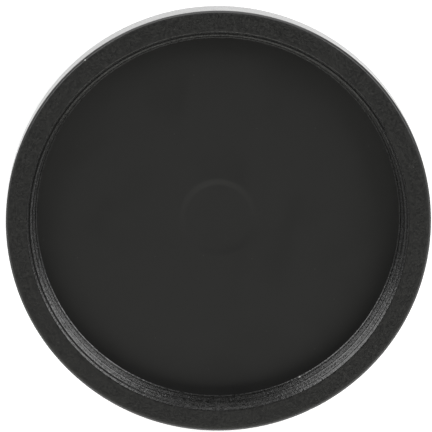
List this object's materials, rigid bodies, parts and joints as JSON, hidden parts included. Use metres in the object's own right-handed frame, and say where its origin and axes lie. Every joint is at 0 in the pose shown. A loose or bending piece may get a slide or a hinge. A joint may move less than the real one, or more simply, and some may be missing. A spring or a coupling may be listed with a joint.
{
  "type": "threaded lens cap",
  "caption": "Shallow round screw-on lens cap, moulded in one piece, with a wide flat rim and a short threaded mouth.",
  "frame": {"origin": "centre of the closed outer face, which the cap rests on", "axes": "+Z along the cap's axis, out of the threaded mouth; the cap is round, so X and Y are free"},
  "size_m": [0.0582, 0.0582, 0.0065],
  "materials": {
    "black_plastic": "fine matte moulded texture, with a smoother outer wall"
  },
  "bodies": {
    "root": {"lens_cap": "black_plastic"}
  },
  "joints": []
}
